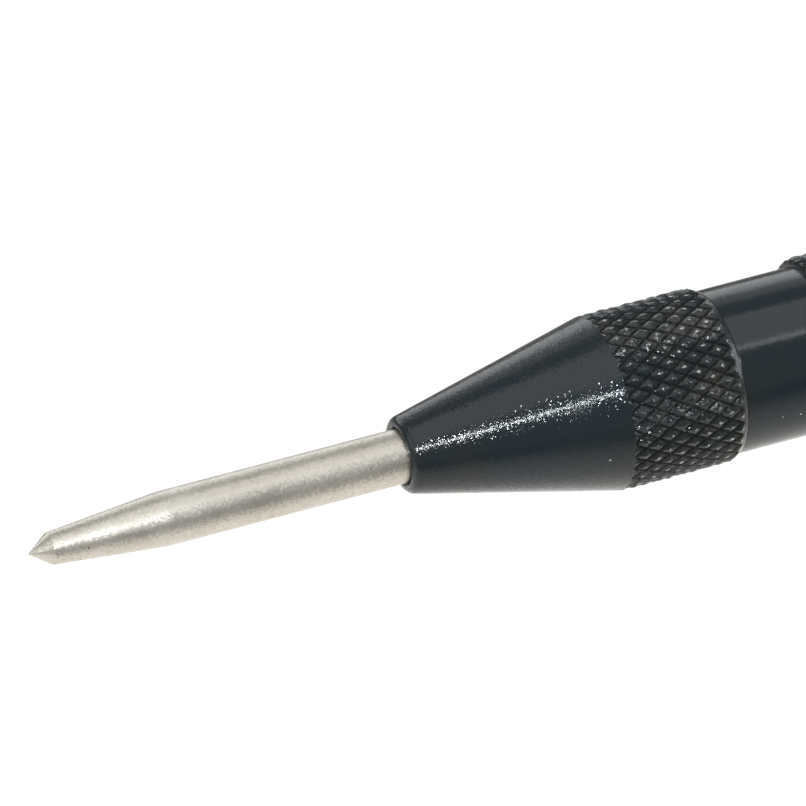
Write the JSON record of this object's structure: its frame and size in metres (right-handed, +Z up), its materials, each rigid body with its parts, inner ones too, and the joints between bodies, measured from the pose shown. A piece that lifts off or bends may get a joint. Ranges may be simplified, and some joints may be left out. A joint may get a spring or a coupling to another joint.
{
  "type": "automatic centre punch",
  "caption": "Spring-loaded centre punch: pointed steel rod in a tapered nose, slim round barrel with diamond-knurled grip bands and a screw-on adjusting cap.",
  "frame": {"origin": "apex of the working tip, on the tool's axis", "axes": "+X runs along the tool's axis from the tip to the adjusting cap, +Z is up with the tool lying on its side"},
  "size_m": [0.13, 0.0144, 0.0144],
  "materials": {
    "point_steel": "satin, ground along its length",
    "black_nose": "glossy black oxide",
    "black_barrel": "glossy black oxide",
    "black_cap": "glossy black oxide",
    "hard_steel": "hardened, turned",
    "spring_steel": "drawn wire, lightly oiled"
  },
  "bodies": {
    "housing": {"nose_cone": "black_nose", "barrel": "black_barrel", "return_spring": "spring_steel"},
    "point": {"punch_point": "point_steel"},
    "trigger": {"trigger_pin": "hard_steel"},
    "striker": {"hammer": "hard_steel"},
    "seat": {"spring_seat": "hard_steel", "main_spring": "spring_steel"},
    "cap": {"adjusting_cap": "black_cap"}
  },
  "joints": [
    {"name": "point_slide", "type": "slide", "parent": "housing", "child": "point", "axis": [1, 0, 0], "range_m": [0, 0.009], "stiffness_N_per_m": 300, "deforming": ["return_spring"]},
    {"name": "pin_align", "type": "hinge", "parent": "point", "child": "trigger", "pos_m": [0.03884, 0, 0], "axis": [0, -1, 0], "range_deg": [0, 2.4]},
    {"name": "hammer_slide", "type": "slide", "parent": "housing", "child": "striker", "axis": [1, 0, 0], "range_m": [0, 0.009], "stiffness_N_per_m": 5000, "deforming": ["main_spring"]},
    {"name": "seat_slide", "type": "slide", "parent": "housing", "child": "seat", "axis": [1, 0, 0], "range_m": [0, 0.004]},
    {"name": "cap_turn", "type": "hinge", "parent": "seat", "child": "cap", "pos_m": [0.10429, 0, 0], "axis": [1, 0, 0], "range_deg": [0, 1440]}
  ],
  "couplings": [
    {"joint": "pin_align", "follows": "point_slide", "rad_per_m": 4.6542},
    {"joint": "hammer_slide", "follows": "point_slide", "ratio": 1},
    {"joint": "cap_turn", "follows": "seat_slide", "rad_per_m": 6283.2}
  ]
}
